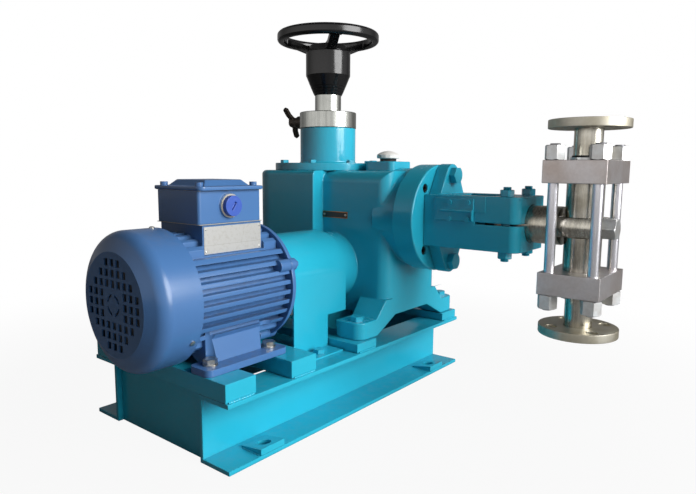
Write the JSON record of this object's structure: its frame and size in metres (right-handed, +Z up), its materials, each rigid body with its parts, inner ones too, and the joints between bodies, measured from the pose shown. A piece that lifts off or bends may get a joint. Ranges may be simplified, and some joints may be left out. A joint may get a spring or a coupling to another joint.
{
  "type": "plunger metering pump",
  "caption": "Motor-driven plunger metering pump on a base frame: worm gear and stroke adjuster with handwheel, crosshead, clamped yoke and vertical valve head with two pipe flanges.",
  "frame": {"origin": "centre of the anchor bolt pattern on the underside of the base rails", "axes": "+X along the plunger towards the liquid end, +Y along the motor shaft from the fan to the pump, +Z up"},
  "size_m": [0.626, 0.626, 0.611],
  "materials": {
    "turquoise_paint": "gloss enamel over cast iron and steel",
    "blue_paint": "semi-gloss enamel",
    "zinc_steel": "zinc plated",
    "blue_plastic": "moulded",
    "bare_plate": "bare plate",
    "bright_steel": "turned",
    "black_plastic": "moulded phenolic",
    "stainless_steel": "turned and milled stainless steel",
    "bronze": "cast bronze",
    "cream_plastic": "moulded",
    "core_iron": "machined",
    "spider_rubber": "moulded elastomer"
  },
  "bodies": {
    "root": {"base_rails": "turquoise_paint", "base_cross_plates": "turquoise_paint", "cross_bars": "turquoise_paint", "anchor_washers": "turquoise_paint", "motor_frame": "blue_paint", "drive_end_shield": "blue_paint", "rear_end_shield": "blue_paint", "fan_cover": "blue_paint", "stator_core": "core_iron", "shaft_bearings": "zinc_steel", "terminal_box": "blue_paint", "terminal_lid": "blue_paint", "terminal_lid_screws": "zinc_steel", "cable_plug": "blue_plastic", "motor_nameplate": "bare_plate", "motor_foot_bolts": "zinc_steel", "motor_case_screws": "blue_paint", "coupling_guard": "turquoise_paint", "guard_screws": "turquoise_paint", "gear_housing": "turquoise_paint", "worm_end_covers": "turquoise_paint", "housing_cover_bolts": "turquoise_paint", "pump_foot_bolts": "turquoise_paint", "housing_nameplate": "bare_plate", "adjuster_column": "turquoise_paint", "lock_ring": "bright_steel", "scale_sleeve": "bright_steel", "crosshead_cover": "turquoise_paint", "front_ring_screws": "zinc_steel", "yoke_bolts": "turquoise_paint", "yoke_frame": "turquoise_paint", "window_cover": "turquoise_paint", "window_screws": "turquoise_paint", "clamp_studs": "turquoise_paint", "pump_head": "stainless_steel", "packing_gland": "bronze", "head_plug": "stainless_steel", "valve_housings": "stainless_steel", "clamp_blocks": "stainless_steel", "pipe_flanges": "stainless_steel", "tie_rods": "stainless_steel"},
    "drive_line": {"motor_rotor": "bright_steel", "cooling_fan": "black_plastic", "coupling_hubs": "core_iron", "coupling_spider": "spider_rubber", "worm_shaft": "bright_steel"},
    "gear_wheel": {"worm_wheel": "bronze"},
    "crank": {"crank_shaft": "bright_steel"},
    "stroke_carrier": {"thrust_carrier": "core_iron"},
    "hand_adjuster": {"handwheel": "black_plastic", "thimble": "black_plastic", "adjusting_screw": "bright_steel"},
    "plunger_line": {"crosshead": "core_iron", "crosshead_pin": "bright_steel", "plunger": "bright_steel"},
    "rod_link": {"connecting_rod": "core_iron"},
    "wing_lock": {"lock_screw": "bronze"},
    "filler_plug": {"oil_filler_cap": "cream_plastic"},
    "suction_check": {"suction_ball": "stainless_steel"},
    "discharge_check": {"discharge_ball": "stainless_steel"}
  },
  "joints": [
    {"name": "drive_spin", "type": "hinge", "parent": "root", "child": "drive_line", "pos_m": [0.026, 0.134, 0.204], "axis": [0, 1, 0], "continuous": true},
    {"name": "wheel_spin", "type": "hinge", "parent": "root", "child": "gear_wheel", "pos_m": [-0.05, 0.134, 0.204], "axis": [0, 0, 1], "continuous": true},
    {"name": "crank_lift", "type": "slide", "parent": "gear_wheel", "child": "crank", "axis": [0, 0, 1], "range_m": [-0.028, 0]},
    {"name": "adjust_lift", "type": "slide", "parent": "root", "child": "stroke_carrier", "axis": [0, 0, 1], "range_m": [-0.028, 0]},
    {"name": "handwheel_turn", "type": "hinge", "parent": "stroke_carrier", "child": "hand_adjuster", "pos_m": [-0.05, 0.134, 0.6], "axis": [0, 0, 1], "range_deg": [-2520, 0]},
    {"name": "plunger_stroke", "type": "slide", "parent": "root", "child": "plunger_line", "axis": [1, 0, 0], "range_m": [-0.01, 0.01]},
    {"name": "rod_swing", "type": "hinge", "parent": "plunger_line", "child": "rod_link", "pos_m": [0.08, 0.134, 0.29], "axis": [0, 0, 1], "range_deg": [-4.5, 4.5]},
    {"name": "wing_lock_turn", "type": "hinge", "parent": "root", "child": "wing_lock", "pos_m": [-0.11, 0.134, 0.4555], "axis": [1, 0, 0], "range_deg": [0, 180]},
    {"name": "filler_cap_turn", "type": "hinge", "parent": "root", "child": "filler_plug", "pos_m": [0.087, 0.134, 0.381], "axis": [0, 0, 1], "range_deg": [0, 90]},
    {"name": "suction_ball_lift", "type": "slide", "parent": "root", "child": "suction_check", "axis": [0, 0, 1], "range_m": [0, 0.0035]},
    {"name": "discharge_ball_lift", "type": "slide", "parent": "root", "child": "discharge_check", "axis": [0, 0, 1], "range_m": [0, 0.0035]}
  ],
  "couplings": [
    {"joint": "wheel_spin", "follows": "drive_spin", "ratio": -0.083333},
    {"joint": "adjust_lift", "follows": "handwheel_turn", "m_per_rad": 0.00063662},
    {"joint": "crank_lift", "follows": "handwheel_turn", "m_per_rad": 0.00063662}
  ]
}
